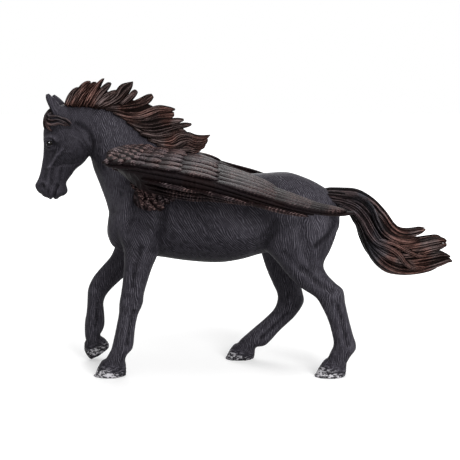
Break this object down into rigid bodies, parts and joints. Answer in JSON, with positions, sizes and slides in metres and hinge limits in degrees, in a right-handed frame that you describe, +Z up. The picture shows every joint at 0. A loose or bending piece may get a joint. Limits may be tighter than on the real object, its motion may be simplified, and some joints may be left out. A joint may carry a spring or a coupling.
{
  "type": "pegasus figurine",
  "caption": "Small cast figurine of a winged horse walking, with a flowing mane and tail, half-spread feathered wings and one foreleg lifted",
  "frame": {"origin": "bottom centre of the bounding box, on the floor that the hooves stand on", "axes": "+X runs from head to tail along the body, +Y to the horse's right side, +Z up"},
  "size_m": [0.1662, 0.0861, 0.1161],
  "materials": {
    "figurine_paint": "moulded plastic, hand painted: charcoal body, brown mane, tail and wings, lighter dry brushing on hair and feathers"
  },
  "bodies": {
    "root": {"pegasus_figurine": "figurine_paint"}
  },
  "joints": []
}
